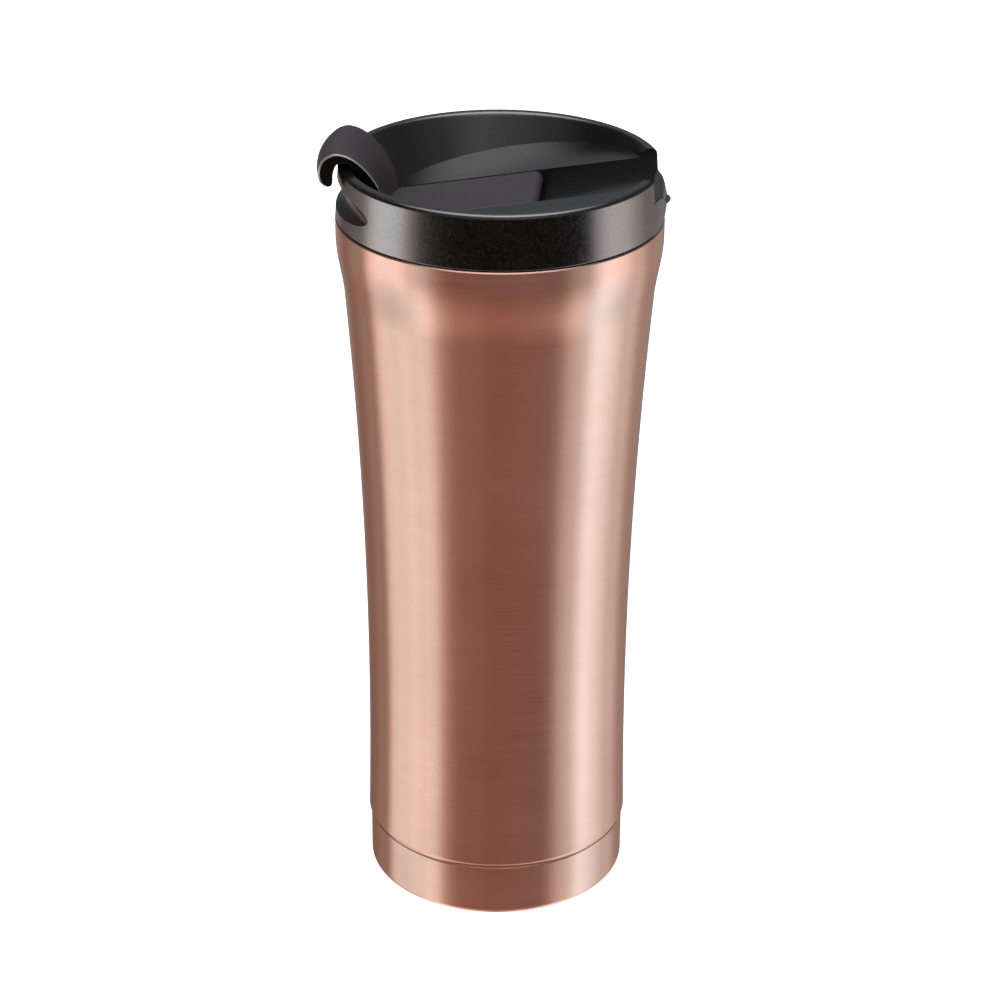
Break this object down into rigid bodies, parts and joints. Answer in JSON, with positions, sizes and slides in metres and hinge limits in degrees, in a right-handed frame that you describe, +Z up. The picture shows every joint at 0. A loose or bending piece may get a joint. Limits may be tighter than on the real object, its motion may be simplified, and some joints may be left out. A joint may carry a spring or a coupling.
{
  "type": "insulated tumbler",
  "caption": "Waisted double-wall steel tumbler with a screw-in black lid and a flip lever that hooks over the rim and folds back into a rim notch.",
  "frame": {"origin": "centre of the underside, on the foot pad's resting face", "axes": "+Z up along the cup's axis; +X from the hook towards the rim notch, along the lever; +Y across the lever"},
  "size_m": [0.0901, 0.0844, 0.209],
  "materials": {
    "rose_steel": "rose gold, finely brushed round the body, clear coated",
    "plain_steel": "plain stainless, satin",
    "foil": "bright foil",
    "getter": "sintered metal powder",
    "solder_glass": "dark solder glass",
    "black_plastic": "black polypropylene, fine satin grain",
    "lever_plastic": "warm dark grey, matt",
    "silicone": "matt silicone"
  },
  "bodies": {
    "cup": {"outer_shell": "rose_steel", "base_cap": "rose_steel", "liner_wall": "plain_steel", "liner_bottom": "plain_steel", "heat_foil": "foil", "getter_clip": "plain_steel", "getter_pellet": "getter", "vacuum_seal_bead": "solder_glass", "foot_pad": "silicone"},
    "gasket": {"lid_gasket": "silicone"},
    "lid": {"lid_shell": "black_plastic", "lid_plug": "black_plastic", "spout_seal": "silicone", "vent_seal": "silicone", "hinge_pin": "plain_steel"},
    "lever": {"flip_lever": "lever_plastic", "seal_carrier": "black_plastic", "spout_stopper": "silicone", "vent_stopper": "silicone"}
  },
  "joints": [
    {"name": "lid_rise", "type": "slide", "parent": "cup", "child": "gasket", "axis": [0, 0, 1], "range_m": [0, 0.02101]},
    {"name": "lid_turn", "type": "hinge", "parent": "gasket", "child": "lid", "pos_m": [0, 0, 0.19], "axis": [0, 0, 1], "range_deg": [0, 1080]},
    {"name": "lever_flip", "type": "hinge", "parent": "lid", "child": "lever", "pos_m": [0.008, 0, 0.19587], "axis": [0, 1, 0], "range_deg": [0, 177]}
  ],
  "couplings": [
    {"joint": "lid_rise", "follows": "lid_turn", "m_per_rad": 0.0011141}
  ]
}
